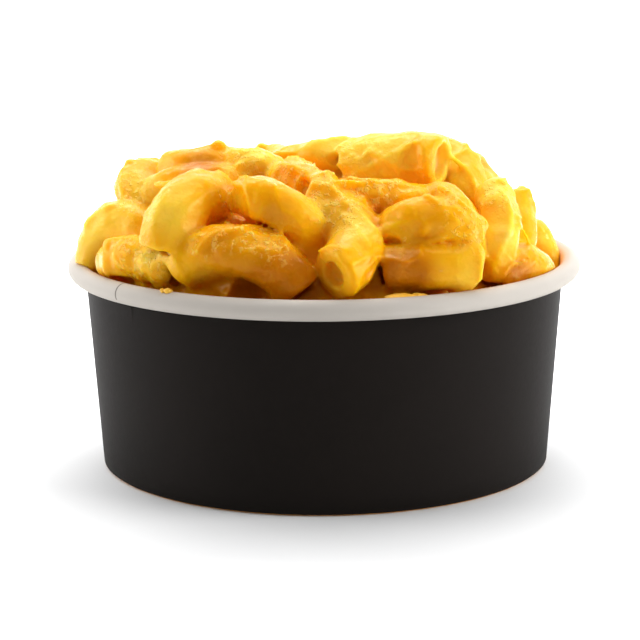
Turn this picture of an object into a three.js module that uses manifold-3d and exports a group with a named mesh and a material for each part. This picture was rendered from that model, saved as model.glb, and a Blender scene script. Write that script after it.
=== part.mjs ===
// Mac and cheese: a short, wide paper bowl heaped with elbow macaroni in a thick cheese sauce.
// Millimetres, +Z up. The origin is the centre of the ring that the bowl stands on.
import * as THREE from 'three';
import { mergeVertices } from 'three/addons/utils/BufferGeometryUtils.js';
import Module from 'manifold-3d';

const { PI, cos, sin, sqrt } = Math;

// Driving dimensions
const RIM_DIAMETER = 115; // over the rolled rim
const FOOT_DIAMETER = 101; // outside of the wall where it stands
const BOWL_HEIGHT = 47; // to the top of the rolled rim
const PAPER = 0.6; // coated board, one sheet
const ROLL_DIAMETER = 4.4; // of the rolled rim
const ROLL_TURN = 5.1; // radians that the rim is rolled through
const FOOT_FOLD = 4; // height of the wall's turned-in lower edge
const BASE_LIFT = 4.6; // underside of the base above the table
const GAP = 0.3; // clearance between pieces that touch

const NOODLE_RADIUS = 5.2; // of an elbow in its coat of sauce
const BORE_RADIUS = 2.9; // of the hole in its ends
const BORE_DEPTH = 5;
const MOUTH_CLEARANCE = 3; // length in front of an end that shows whether its bore is open
const MOUTH_BURIED = 0.35; // share of that length that may be filled
const CORE_RADIUS = 45; // of the sauce-bound mass that the elbows stand out of
const CORE_TOP = 66;
const CORE_SHIFT = -2; // the heap leans to its left and front
const CORE_FULLNESS = 2.4; // exponent of the mound's outline
const HEAP_SCATTER_SEED = 4127;

const ROUND_SEGMENTS = 48;
const ROLL_STEPS = 9;
const NOODLE_SIDES = 8;
const ROOM_STEPS = 3;
const MOUND_STEPS = 7;
const NOODLE_STEPS = 5;
const BORE_SIDES = 6;

// The elbows that show at the front. Each is bent along the arc through three places,
// one end, its crown and the other end, and its size is a share of NOODLE_RADIUS.
const FRONT_ELBOWS = [
  { start: [-49.5, -12, 46], crown: [-45, -15, 56.3], end: [-37.5, -20, 54], size: 0.95 },
  { start: [-35.5, 1, 62.5], crown: [-41, -8, 63], end: [-37, -14, 57.5], size: 0.9 },
  { start: [-33.4, -8, 67], crown: [-26, -12, 68], end: [-16.5, -6, 66.4], size: 0.85 },
  { start: [-37, -18, 62.5], crown: [-26, -24, 66], end: [-14.5, -20, 63], size: 0.85 },
  { start: [-32.8, -38.5, 55.4], crown: [-30.3, -36, 62.3], end: [-23.9, -24.5, 63.5], size: 1.18 },
  { start: [-46, -22, 48.5], crown: [-38.5, -31, 51.5], end: [-31, -36, 49], size: 0.85 },
  { start: [-29.5, -38, 50.5], crown: [-15.5, -44, 54.5], end: [-5.5, -46, 47.5], size: 1.05 },
  { start: [-14.9, -33, 64], crown: [-8.9, -40, 63.7], end: [-3, -37, 58], size: 0.9 },
  { start: [-3.5, -31, 63.7], crown: [5.8, -38.5, 57.8], end: [1.8, -50.5, 51.3], size: 1.18 },
  { start: [13, -44, 51], crown: [22, -44.5, 51.7], end: [30.6, -42.6, 51], size: 1 },
  { start: [15, -37, 57], crown: [21.4, -42, 61.2], end: [28.4, -36, 55.7], size: 0.95 },
  { start: [1.5, -25, 61], crown: [12, -31, 63], end: [23, -26, 60], size: 0.9 },
  { start: [6, -11, 67], crown: [16, -14.5, 69.6], end: [25, -18.5, 69.8], size: 1.22 },
  { start: [24, 0, 68.5], crown: [29.5, -7, 68], end: [30, -15, 60.5], size: 0.85 },
  { start: [30.5, 4, 65], crown: [34.5, -4, 63], end: [35, -12, 57], size: 0.8 },
  { start: [36, -20, 63.2], crown: [37.2, -28.5, 56.5], end: [35.8, -32, 46.5], size: 0.75 },
  { start: [42, -4, 59.5], crown: [43, -8, 55.5], end: [42, -14, 48.5], size: 0.75 },
  { start: [46.5, 7, 50], crown: [49.2, 3, 46.2], end: [49.5, -1, 40.5], size: 0.75 },
  { start: [36.6, -31, 45.1], crown: [41.5, -27, 48.2], end: [46.5, -17, 42.3], size: 0.8 },
  { start: [-20, -12, 65], crown: [-15, -15, 68.5], end: [-10, -14, 64.5], size: 0.8 },
  { start: [-10.5, -2, 65], crown: [-5.5, -4, 68], end: [-1, 0, 64.5], size: 0.8 },
  { start: [-3.5, -4, 66.5], crown: [2.5, -7, 69.5], end: [9, -4, 66], size: 0.85 },
  { start: [-9.5, -16, 64.5], crown: [-4, -25, 66], end: [1.5, -26, 61.5], size: 0.8 },
  { start: [23, -26, 62], crown: [27.5, -33, 60], end: [29.5, -33, 52.5], size: 0.85 },
];

// The elbows of the back and the sides lie in rings, from one angle round to another, seen
// from above and counted from +X towards +Y. Each has the same bend, in mm, and turn, in
// radians, and its size, lean and height vary by chance up to the amounts given.
const SCATTER_ELBOW = { bend: 9, turn: 1.9, size: 0.92, sizeVaries: 0.1, leanVaries: 0.6, liftVaries: 1.5 };
const SCATTER_UPWARD = 0.35; // how far the elbows' crowns turn up from the mound's own slope
const SCATTER_SPACING = { first: 0.3, varies: 0.4 }; // place within an elbow's share of its ring
const SCATTER_RINGS = [
  { radius: 47, height: 50, from: 0.35, to: 3.35, count: 9 },
  { radius: 39, height: 57.5, from: 0.1, to: 3.1, count: 8 },
  { radius: 27, height: 63, from: 0, to: 3, count: 7 },
  { radius: 12, height: 65.5, from: -0.2, to: 2.9, count: 4 },
];

const wasm = await Module();
wasm.setup();

// A solid for cutting and joining, from a closed geometry
function toSolid(geometry) {
  const bare = geometry.index ? geometry.toNonIndexed() : geometry;
  bare.deleteAttribute('normal');
  bare.deleteAttribute('uv');
  const merged = mergeVertices(bare, 1e-4);
  return new wasm.Manifold(new wasm.Mesh({
    numProp: 3,
    vertProperties: new Float32Array(merged.attributes.position.array),
    triVerts: new Uint32Array(merged.index.array),
  }));
}

function toGeometry(solid) {
  const mesh = solid.getMesh();
  const geometry = new THREE.BufferGeometry();
  geometry.setAttribute('position', new THREE.BufferAttribute(mesh.vertProperties, 3));
  geometry.setIndex(new THREE.BufferAttribute(mesh.triVerts, 1));
  return geometry;
}

// A solid of revolution about +Z from a profile of [radius, height] pairs, which starts at
// the bottom and goes outwards and up
function turned(profile) {
  const points = profile.map(([radius, height]) => new THREE.Vector2(radius, height));
  const geometry = new THREE.LatheGeometry(points, ROUND_SEGMENTS);
  geometry.rotateX(PI / 2);
  return geometry;
}

function named(name, geometry, color, roughness) {
  const material = new THREE.MeshStandardMaterial({ color, roughness, metalness: 0 });
  const mesh = new THREE.Mesh(geometry, material);
  mesh.name = name;
  return mesh;
}

// ---- the paper bowl ----
// The wall is one sheet, rolled outwards at the rim and folded inwards at the foot.
const rollRadius = (ROLL_DIAMETER - PAPER) / 2;
const rollCentre = [RIM_DIAMETER / 2 - ROLL_DIAMETER / 2, BOWL_HEIGHT - ROLL_DIAMETER / 2];
const footRadius = FOOT_DIAMETER / 2 - PAPER / 2;
const lipRadius = rollCentre[0] - rollRadius;
const wallSlope = (lipRadius - footRadius) / rollCentre[1];
const wallRadius = (height) => footRadius + wallSlope * height;
const foldRadius = (height) => wallRadius(height) - 2 * (PAPER + GAP);

function wallCentreline() {
  const line = [
    [foldRadius(FOOT_FOLD), FOOT_FOLD],
    [foldRadius(PAPER), PAPER / 2],
    [wallRadius(0), PAPER / 2],
  ];
  for (let step = 0; step <= ROLL_STEPS; step += 1) {
    const angle = PI - (step / ROLL_STEPS) * ROLL_TURN;
    line.push([rollCentre[0] + rollRadius * cos(angle), rollCentre[1] + rollRadius * sin(angle)]);
  }
  return line;
}

// The two faces of a sheet whose middle runs along a line of [radius, height] pairs
function sheetProfile(line, thickness) {
  const side = (sign) => line.map(([radius, height], i) => {
    const before = line[Math.max(i - 1, 0)];
    const after = line[Math.min(i + 1, line.length - 1)];
    const first = new THREE.Vector2(radius - before[0], height - before[1]).normalize();
    const second = new THREE.Vector2(after[0] - radius, after[1] - height).normalize();
    const along = first.clone().add(second).normalize();
    const widening = i > 0 && i < line.length - 1 ? first.dot(along) : 1;
    const offset = (sign * thickness) / 2 / widening;
    return [radius - along.y * offset, height + along.x * offset];
  });
  const outline = [...side(-1), ...side(1).reverse()];
  return [...outline, outline[0]];
}

function bowlWall() {
  const wall = turned(sheetProfile(wallCentreline(), PAPER));
  return named('bowl_wall', wall, 0x1c1a18, 0.55);
}

// The base is a disc with a skirt that hangs between the wall and its folded foot.
const skirtOuter = (height) => wallRadius(height) - PAPER / 2 - GAP;
const baseTop = BASE_LIFT + PAPER;

function bowlBase() {
  const skirtFoot = PAPER + GAP;
  const profile = [
    [0, BASE_LIFT],
    [skirtOuter(BASE_LIFT) - PAPER, BASE_LIFT],
    [skirtOuter(skirtFoot) - PAPER, skirtFoot],
    [skirtOuter(skirtFoot), skirtFoot],
    [skirtOuter(baseTop), baseTop],
    [0, baseTop],
  ];
  return named('bowl_base', turned(profile), 0xf3efe8, 0.6);
}

// ---- the macaroni heap ----
// The room that the food can take: inside the wall, over the rim, and clear of both
function foodRoom() {
  const clear = PAPER / 2 + GAP;
  const floor = baseTop + GAP;
  const overRim = ROLL_DIAMETER / 2 + GAP;
  const profile = [[0, floor], [wallRadius(floor) - clear, floor]];
  for (let step = 0; step <= ROOM_STEPS; step += 1) {
    const angle = PI - (step / ROOM_STEPS) * (PI / 2);
    profile.push([rollCentre[0] + overRim * cos(angle), rollCentre[1] + overRim * sin(angle)]);
  }
  const top = CORE_TOP + 4 * NOODLE_RADIUS;
  profile.push([RIM_DIAMETER, BOWL_HEIGHT + GAP], [RIM_DIAMETER, top], [0, top]);
  return toSolid(turned(profile));
}

// The mass under the elbows: it fills the bowl and rises to a mound
function heapCore() {
  const brim = BOWL_HEIGHT - ROLL_DIAMETER / 2;
  const filling = [[0, baseTop], [wallRadius(baseTop), baseTop], [wallRadius(brim), brim], [0, brim]];
  const mound = [[0, baseTop], [CORE_RADIUS, baseTop]];
  for (let step = 0; step < MOUND_STEPS; step += 1) {
    const share = cos((step / MOUND_STEPS) * (PI / 2));
    const rise = (CORE_TOP - brim) * sqrt(1 - share ** CORE_FULLNESS);
    mound.push([CORE_RADIUS * share, brim + rise]);
  }
  mound.push([0, CORE_TOP]);
  const shape = turned(mound);
  shape.translate(CORE_SHIFT, CORE_SHIFT, 0);
  return toSolid(turned(filling)).add(toSolid(shape));
}

// The circular arc through three places
class ArcThrough extends THREE.Curve {
  constructor(start, crown, end) {
    super();
    const first = crown.clone().sub(start);
    const second = end.clone().sub(start);
    const normal = first.clone().cross(second);
    const offset = normal.clone().cross(first).multiplyScalar(second.lengthSq());
    offset.add(second.clone().cross(normal).multiplyScalar(first.lengthSq()));
    offset.divideScalar(2 * normal.lengthSq());
    this.centre = start.clone().add(offset);
    this.u = start.clone().sub(this.centre);
    this.v = normal.normalize().cross(this.u);
    const out = end.clone().sub(this.centre);
    const angle = Math.atan2(out.dot(this.v), out.dot(this.u));
    this.angle = angle > 0 ? angle : angle + 2 * PI;
  }

  getPoint(t, target = new THREE.Vector3()) {
    const angle = t * this.angle;
    target.copy(this.centre);
    target.addScaledVector(this.u, cos(angle));
    return target.addScaledVector(this.v, sin(angle));
  }
}

function circle(radius, sides) {
  const points = [];
  for (let side = 0; side < sides; side += 1) {
    const angle = (side / sides) * 2 * PI;
    points.push(new THREE.Vector2(radius * cos(angle), radius * sin(angle)));
  }
  return new THREE.Shape(points);
}

// A round bar along an elbow's end: length in front of the end and depth behind it
function endBar(path, t, radius, length, depth) {
  const bar = new THREE.CylinderGeometry(radius, radius, length + depth, BORE_SIDES);
  bar.translate(0, (length - depth) / 2, 0);
  const outward = path.getTangent(t).multiplyScalar(t > 0 ? 1 : -1);
  bar.applyQuaternion(new THREE.Quaternion().setFromUnitVectors(new THREE.Vector3(0, 1, 0), outward));
  bar.translate(...path.getPoint(t).toArray());
  return toSolid(bar);
}

// One elbow: its outer tube, and for each end the bore and the space in front of the mouth
function elbow({ start, crown, end, size }) {
  const path = new ArcThrough(...[start, crown, end].map((place) => new THREE.Vector3(...place)));
  const section = circle(NOODLE_RADIUS * size, NOODLE_SIDES);
  const settings = { steps: NOODLE_STEPS, extrudePath: path, bevelEnabled: false };
  const radius = BORE_RADIUS * size;
  const mouths = [0, 1].map((t) => ({
    bore: endBar(path, t, radius, MOUTH_CLEARANCE, BORE_DEPTH),
    front: endBar(path, t, radius, MOUTH_CLEARANCE, 0),
  }));
  return { tube: toSolid(new THREE.ExtrudeGeometry(section, settings)), mouths };
}

// Random numbers from 0 to 1, the same on every run
function randomFrom(seed) {
  const factor = 16807;
  const modulus = 2 ** 31 - 1;
  let state = seed;
  return () => {
    state = (state * factor) % modulus;
    return state / modulus;
  };
}

// The elbows of the back and the sides, as places on rings about the heap
function scatteredElbows() {
  const random = randomFrom(HEAP_SCATTER_SEED);
  const elbows = [];
  for (const ring of SCATTER_RINGS) {
    for (let i = 0; i < ring.count; i += 1) {
      const share = (i + SCATTER_SPACING.first + SCATTER_SPACING.varies * random()) / ring.count;
      const around = ring.from + (ring.to - ring.from) * share;
      const heading = PI * random();
      const lean = SCATTER_ELBOW.leanVaries * (2 * random() - 1);
      const size = SCATTER_ELBOW.size + SCATTER_ELBOW.sizeVaries * (2 * random() - 1);
      const lift = SCATTER_ELBOW.liftVaries * (2 * random() - 1);
      const steepness = Math.min(ring.radius / CORE_RADIUS, 1);
      const outward = new THREE.Vector3(
        cos(around) * steepness,
        sin(around) * steepness,
        sqrt(1 - steepness ** 2) + SCATTER_UPWARD,
      ).normalize();
      const sideways = new THREE.Vector3(-sin(around), cos(around), 0);
      const upward = outward.clone().cross(sideways);
      const chord = sideways.clone().multiplyScalar(cos(heading)).addScaledVector(upward, sin(heading));
      const across = outward.clone().cross(chord);
      const bulge = outward.clone().multiplyScalar(cos(lean)).addScaledVector(across, sin(lean));
      const crown = new THREE.Vector3(
        CORE_SHIFT + ring.radius * cos(around),
        ring.radius * sin(around),
        ring.height + lift,
      );
      const halfTurn = SCATTER_ELBOW.turn / 2;
      const reach = SCATTER_ELBOW.bend * sin(halfTurn);
      const sunk = crown.clone().addScaledVector(bulge, -SCATTER_ELBOW.bend * (1 - cos(halfTurn)));
      elbows.push({
        start: sunk.clone().addScaledVector(chord, -reach).toArray(),
        crown: crown.toArray(),
        end: sunk.clone().addScaledVector(chord, reach).toArray(),
        size,
      });
    }
  }
  return elbows;
}

// The largest body of a solid, so that no loose scrap or sealed hollow stays
function mainBody(solid) {
  return solid.decompose().reduce((best, body) => (body.volume() > best.volume() ? body : best));
}

function macaroniHeap() {
  const elbows = [...FRONT_ELBOWS, ...scatteredElbows()].map(elbow);
  const mass = elbows.reduce((joined, { tube }) => joined.add(tube), heapCore());
  const open = elbows.flatMap(({ mouths }) => mouths).filter(({ front }) => (
    mass.intersect(front).volume() < MOUTH_BURIED * front.volume()
  ));
  const heap = open.reduce((left, { bore }) => left.subtract(bore), mass);
  const heapBody = mainBody(heap.intersect(foodRoom()));
  return named('macaroni_heap', toGeometry(heapBody), 0xf0a52a, 0.45);
}

const macAndCheese = new THREE.Group();
macAndCheese.add(bowlWall(), bowlBase(), macaroniHeap());

export default macAndCheese;
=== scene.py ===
import math

import bpy
import numpy as np
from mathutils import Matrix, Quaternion, Vector


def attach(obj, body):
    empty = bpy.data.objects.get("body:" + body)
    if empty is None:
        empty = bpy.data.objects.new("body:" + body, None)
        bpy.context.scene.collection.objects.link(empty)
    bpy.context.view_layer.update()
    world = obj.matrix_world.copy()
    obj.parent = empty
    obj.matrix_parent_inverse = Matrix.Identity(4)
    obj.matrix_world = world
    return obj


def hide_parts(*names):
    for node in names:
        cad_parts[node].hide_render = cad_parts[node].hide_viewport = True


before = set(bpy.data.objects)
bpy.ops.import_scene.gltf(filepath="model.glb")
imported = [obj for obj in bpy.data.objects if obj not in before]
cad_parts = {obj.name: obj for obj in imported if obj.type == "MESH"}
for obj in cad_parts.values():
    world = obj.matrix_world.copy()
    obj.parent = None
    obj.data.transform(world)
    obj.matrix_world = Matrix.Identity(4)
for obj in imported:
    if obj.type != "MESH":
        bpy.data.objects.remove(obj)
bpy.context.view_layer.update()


# ---- The table, the light and the view ----
# The bowl stands on a pale sweep of paper that curves up behind it. Soft lights stand above
# it, at both its sides and behind it, so that the side towards the viewer is the darkest.
MM = 0.001
SWEEP_WIDTH = 5.0
SWEEP_FRONT = -2.5
SWEEP_BACK = 1.1
SWEEP_CURVE = 0.8
SWEEP_STEPS = 25
SWEEP_TOP = 3.0

scene = bpy.context.scene
scene.view_settings.view_transform = "Standard"


def new_piece(name, content):
    """An object at the origin, in the scene."""
    piece = bpy.data.objects.new(name, content)
    scene.collection.objects.link(piece)
    return piece


def bend_points(middle, width, height, turns):
    """Points along a bend round its middle, one for each turn."""
    return [(middle[0] + width * math.cos(t), middle[1] + height * math.sin(t)) for t in turns]


sweep_line = [(SWEEP_FRONT, 0.0)]
sweep_turns = np.linspace(-math.pi / 2, 0, SWEEP_STEPS)
sweep_line += bend_points((SWEEP_BACK, SWEEP_CURVE), SWEEP_CURVE, SWEEP_CURVE, sweep_turns)
sweep_line.append((SWEEP_BACK + SWEEP_CURVE, SWEEP_TOP))
sweep_points = [(x, y, z) for y, z in sweep_line for x in (-SWEEP_WIDTH / 2, SWEEP_WIDTH / 2)]
sweep_faces = [(2 * i, 2 * i + 1, 2 * i + 3, 2 * i + 2) for i in range(len(sweep_line) - 1)]
sweep_mesh = bpy.data.meshes.new("table_sweep")
sweep_mesh.from_pydata(sweep_points, [], sweep_faces)
sweep_mesh.polygons.foreach_set("use_smooth", [True] * len(sweep_faces))
table_sweep = new_piece("table_sweep", sweep_mesh)


class Value:
    """A number, colour or vector on a socket. Arithmetic on it adds Math nodes to its tree."""

    def __init__(self, tree, socket):
        self.tree = tree
        self.socket = socket

    def math(self, operation, *others):
        return self.tree.node("ShaderNodeMath", {"operation": operation}, [self, *others])

    def __add__(self, other):
        return self.math("ADD", other)

    def __sub__(self, other):
        return self.math("SUBTRACT", other)

    def __mul__(self, other):
        return self.math("MULTIPLY", other)

    def __truediv__(self, other):
        return self.math("DIVIDE", other)

    def __rsub__(self, other):
        return self.tree.node("ShaderNodeMath", {"operation": "SUBTRACT"}, [other, self])

    __radd__ = __add__
    __rmul__ = __mul__


class Tree:
    """A node tree, with one method that adds any node to it and a few short ways to use it."""

    def __init__(self, nodes_of):
        self.nodes = nodes_of.nodes
        self.links = nodes_of.links

    def node(self, kind, settings=None, inputs=(), output=0):
        added = self.nodes.new(kind)
        for setting, value in (settings or {}).items():
            setattr(added, setting, value)
        pairs = inputs.items() if isinstance(inputs, dict) else enumerate(inputs)
        for place, value in pairs:
            if isinstance(value, Value):
                self.links.new(value.socket, added.inputs[place])
            elif value is not None:
                added.inputs[place].default_value = value
        return Value(self, added.outputs[output])

    def vector(self, operation, *values, output=0):
        return self.node("ShaderNodeVectorMath", {"operation": operation}, values, output)

    def scaled(self, vector, times):
        inputs = {0: vector, "Scale": times}
        return self.node("ShaderNodeVectorMath", {"operation": "SCALE"}, inputs)

    def parts(self, vector):
        """The x, y and z of a vector, as three values."""
        split = self.node("ShaderNodeSeparateXYZ", {}, [vector]).socket.node
        return [Value(self, part) for part in split.outputs]


class Finish(Tree):
    """A material: its Principled shader, and the patterns that change over a surface."""

    def __init__(self, name, **uniform):
        self.material = bpy.data.materials.new(name)
        self.material.use_nodes = True
        super().__init__(self.material.node_tree)
        self.shader = self.nodes["Principled BSDF"]
        for socket, value in uniform.items():
            self.shader.inputs[socket.replace("_", " ")].default_value = value
        self.place = self.node("ShaderNodeTexCoord", output="Object")

    def vary(self, socket, value):
        self.links.new(value.socket, self.shader.inputs[socket])

    def mix(self, share, first, second):
        settings = {"data_type": "RGBA", "clamp_factor": True}
        return self.node("ShaderNodeMix", settings, {0: share, 6: first, 7: second}, 2)

    def noise(self, scale, detail=2.0, roughness=0.5):
        inputs = {"Vector": self.place, "Scale": scale, "Detail": detail, "Roughness": roughness}
        return self.node("ShaderNodeTexNoise", {}, inputs)

    def step(self, value, low, high, to_low=0.0, to_high=1.0):
        settings = {"interpolation_type": "SMOOTHSTEP"}
        return self.node("ShaderNodeMapRange", settings, [value, low, high, to_low, to_high])

    def attribute(self, name):
        return self.node("ShaderNodeAttribute", {"attribute_name": name}, output="Fac")

    def bump(self, height, distance):
        inputs = {"Height": height, "Distance": distance}
        self.vary("Normal", self.node("ShaderNodeBump", {}, inputs))


TABLE_WHITE = (0.9, 0.9, 0.9, 1)
TABLE_SHADE = (0.88, 0.885, 0.89, 1)
table_paper = Finish("table_paper", Roughness=0.9, Base_Color=TABLE_WHITE)
table_shade = table_paper.noise(2.0, 1.0)
table_paper.vary("Base Color", table_paper.mix(table_shade, TABLE_WHITE, TABLE_SHADE))
sweep_mesh.materials.append(table_paper.material)

ROOM_LIGHT = 0.19
room = bpy.data.worlds.new("room")
room.use_nodes = True
room.node_tree.nodes["Background"].inputs["Color"].default_value = (1.0, 1.0, 1.0, 1)
room.node_tree.nodes["Background"].inputs["Strength"].default_value = ROOM_LIGHT
scene.world = room

LIT_POINT = (0, 0, 0.05)
SOFT_LIGHTS = {
    "left_light": {"at": (-0.68, 0.0, 0.22), "to": LIT_POINT, "size": 0.45, "watts": 2.6},
    "right_light": {"at": (0.64, -0.2, 0.26), "to": LIT_POINT, "size": 0.4, "watts": 3.7},
    "top_light": {"at": (0.0, 0.12, 0.72), "to": LIT_POINT, "size": 0.6, "watts": 3.1},
    "window_light": {"at": (-0.15, -0.5, 0.55), "to": LIT_POINT, "size": 0.14, "watts": 0.25},
    "left_back_light": {"at": (-0.6, 0.4, 0.3), "to": LIT_POINT, "size": 0.3, "watts": 0.8},
    "right_back_light": {"at": (0.6, 0.4, 0.3), "to": LIT_POINT, "size": 0.3, "watts": 0.6},
    "table_light": {"at": (0.0, 0.5, 0.9), "to": (0, 1.6, 0.1), "size": 1.2, "watts": 45.0},
}
for light_name, soft in SOFT_LIGHTS.items():
    light = bpy.data.lights.new(light_name, "AREA")
    light.size = soft["size"]
    light.energy = soft["watts"]
    lamp = new_piece(light_name, light)
    lamp.location = soft["at"]
    towards = Vector(soft["to"]) - lamp.location
    lamp.rotation_euler = towards.to_track_quat("-Z", "Y").to_euler()

VIEW_DISTANCE = 517.5 * MM
VIEW_DOWN = math.radians(11.85)
VIEW_ROLL = math.radians(-0.42)
VIEW_CENTRE = Vector((-1.02, 0.0, 31.3)) * MM
SENSOR = 36.0
LENS = 128.25
CLIP_START = 0.01
camera = bpy.data.cameras.new("viewer")
camera.sensor_width = SENSOR
camera.lens = LENS
camera.clip_start = CLIP_START
viewer = new_piece("viewer", camera)
forward = Vector((0, math.cos(VIEW_DOWN), -math.sin(VIEW_DOWN)))
viewer.location = VIEW_CENTRE - VIEW_DISTANCE * forward
viewer.rotation_mode = "QUATERNION"
viewer.rotation_quaternion = forward.to_track_quat("-Z", "Y") @ Quaternion((0, 0, 1), VIEW_ROLL)
scene.camera = viewer


# ---- The bowl's wall ----
# One sheet of coated board, printed black outside and left white inside. Its ends are glued
# in a lap, its top edge is rolled outwards and its lower edge is folded in under the base.
RIM_RADIUS = 57.5
FOOT_RADIUS = 50.5
BOWL_HEIGHT = 47.0
PAPER = 0.6
GAP = 0.3
FOLD_LIFT = 0.08
ROLL_RADIUS = 2.2
ROLL_TURN = 5.1
ROLL_STEPS = 30
FOOT_FOLD = 4.0
WALL_COLUMNS = 288
WALL_ROWS = 14
LAP_AT = math.radians(220.2)
LAP_WIDTH = math.radians(9.0)
LAP_STEP = 0.45
LAP_EDGE = 0.0012
LAP_SHOWS = 1.5

roll_path = ROLL_RADIUS - PAPER / 2
roll_centre = (RIM_RADIUS - ROLL_RADIUS, BOWL_HEIGHT - ROLL_RADIUS)
foot_middle = FOOT_RADIUS - PAPER / 2
wall_slope = (roll_centre[0] - roll_path - foot_middle) / roll_centre[1]


def wall_middle(height):
    """The radius of the middle of the board at a height."""
    return foot_middle + wall_slope * height


fold_offset = 2 * (PAPER + GAP)
sheet_line = [(wall_middle(z) - fold_offset, z) for z in np.linspace(FOOT_FOLD, PAPER, 4)]
sheet_line.append((wall_middle(0) - fold_offset + PAPER / 2, PAPER / 2 + FOLD_LIFT))
sheet_line.append((wall_middle(0) - PAPER / 2, PAPER / 2 + FOLD_LIFT))
sheet_line += [(wall_middle(z), z) for z in np.linspace(PAPER, roll_centre[1] - 0.5, WALL_ROWS)]
roll_turns = np.linspace(math.pi, math.pi - ROLL_TURN, ROLL_STEPS)
sheet_line = np.array(sheet_line + bend_points(roll_centre, roll_path, roll_path, roll_turns))
sheet_ahead = np.gradient(sheet_line, axis=0)
sheet_ahead /= np.linalg.norm(sheet_ahead, axis=1)[:, None]
sheet_out = np.stack([sheet_ahead[:, 1], -sheet_ahead[:, 0]], axis=1)


def revolved(name, outlines):
    """A closed ring from outlines, one for each angle in turn, of points (radius, height)."""
    columns = len(outlines)
    points = len(outlines[0][1])
    spots = []
    for angle, outline in outlines:
        radius = outline[:, 0]
        ring = [radius * math.cos(angle), radius * math.sin(angle), outline[:, 1]]
        spots.append(np.stack(ring, axis=1))
    spots = np.concatenate(spots) * MM
    column, point = np.meshgrid(np.arange(columns), np.arange(points), indexing="ij")
    next_column = (column + 1) % columns
    next_point = (point + 1) % points
    corners = [
        column * points + point,
        next_column * points + point,
        next_column * points + next_point,
        column * points + next_point,
    ]
    faces = np.stack([corner.ravel() for corner in corners], axis=1)
    mesh = bpy.data.meshes.new(name)
    mesh.from_pydata(spots.tolist(), [], faces.tolist())
    mesh.polygons.foreach_set("use_smooth", [True] * len(faces))
    return mesh


# The lap: on the roll the outer end of the sheet makes a step, and the sheet eases back beyond.
wall_angles = list(np.linspace(0, 2 * math.pi, WALL_COLUMNS, endpoint=False))
wall_angles += [LAP_AT - LAP_EDGE, LAP_AT + LAP_EDGE]
wall_outlines = []
lap_share = np.where(sheet_line[:, 1] > roll_centre[1] - LAP_SHOWS, 1.0, 0.0)
for angle in sorted(wall_angles):
    past = angle - LAP_AT
    lap = 0.0 if past > 0 else max(0.0, 1 + past / LAP_WIDTH)
    lift = PAPER / 2 + LAP_STEP * lap * lap_share
    lifted = sheet_line + sheet_out * lift[:, None]
    inner = sheet_line - sheet_out * PAPER / 2
    wall_outlines.append((angle, np.concatenate([lifted, inner[::-1]])))
wall_mesh = revolved("bowl_wall_sheet", wall_outlines)
bowl_wall = new_piece("bowl_wall_sheet", wall_mesh)

BOARD_WHITE = (0.59, 0.55, 0.50, 1)
BOARD_SHADE = (0.50, 0.46, 0.415, 1)
PRINT_BLACK = (0.0075, 0.0058, 0.0048, 1)
PRINT_WORN = (0.012, 0.009, 0.0074, 1)
STAIN = (0.72, 0.33, 0.07, 1)
GREASE_AND_PAINTED_SHADE = (0.62, 0.36, 0.14, 1)
SEAM_SHADOW = (0.12, 0.1, 0.085, 1)
INK_TOP = roll_centre[1] - 1.0
INK_BLUR = 0.1
board = Finish("printed_board", Specular_IOR_Level=0.07)
board_x, board_y, board_height = board.parts(board.place)
board_radius = board.vector("MULTIPLY", board.place, (1, 1, 0))
board_radius = board.vector("LENGTH", board_radius, output=1)
past_middle = board_radius - (board_height * wall_slope + foot_middle * MM)
printed = board.step(past_middle, -0.05 * MM, 0.05 * MM)
below_roll = board.step(board_height, (INK_TOP + INK_BLUR) * MM, (INK_TOP - INK_BLUR) * MM)
near_wall = board.step(past_middle, 1.4 * MM, 1.2 * MM)
ink = printed * below_roll * near_wall
fibres = board.noise(900.0, 4.0, 0.6)
mottle = board.noise(35.0, 3.0, 0.55)
white = board.mix(mottle, BOARD_WHITE, BOARD_SHADE)
from_roll_middle = board_radius + (board.noise(70.0) - 0.5) * (1.6 * MM) - roll_centre[0] * MM
stained = board.step(from_roll_middle, -0.7 * MM, -2.0 * MM)
white = board.mix(stained * 0.9, white, STAIN)
# Over the top and inner side of the roll the board is tinted darker and warmer: partly grease,
# partly painted shade with a painted warm reflection of the sauce.
greased_and_painted_shade = board.step(from_roll_middle, 1.2 * MM, -1.2 * MM)
white = board.mix(greased_and_painted_shade * 0.35, white, GREASE_AND_PAINTED_SHADE)
# A dark line along the lap on the roll is painted shadow of the lap's step.
from_seam = (board_y * math.cos(LAP_AT) - board_x * math.sin(LAP_AT)).math("ABSOLUTE")
seam_side = board.step(board_x, 0.0, -1.0 * MM)
on_roll = board.step(board_height, (INK_TOP - 2 * INK_BLUR) * MM, INK_TOP * MM)
seam_shadow = board.step(from_seam, 0.3 * MM, 0.1 * MM) * seam_side * on_roll
white = board.mix(seam_shadow * 0.8, white, SEAM_SHADOW)
board.vary("Base Color", board.mix(ink, white, board.mix(mottle, PRINT_BLACK, PRINT_WORN)))
board.vary("Roughness", 0.62 - ink * 0.02 + (fibres - 0.5) * 0.1)
board.bump(fibres + mottle * 2, 0.02 * MM)
wall_mesh.materials.append(board.material)
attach(bowl_wall, "root")
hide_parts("bowl_wall")


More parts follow.
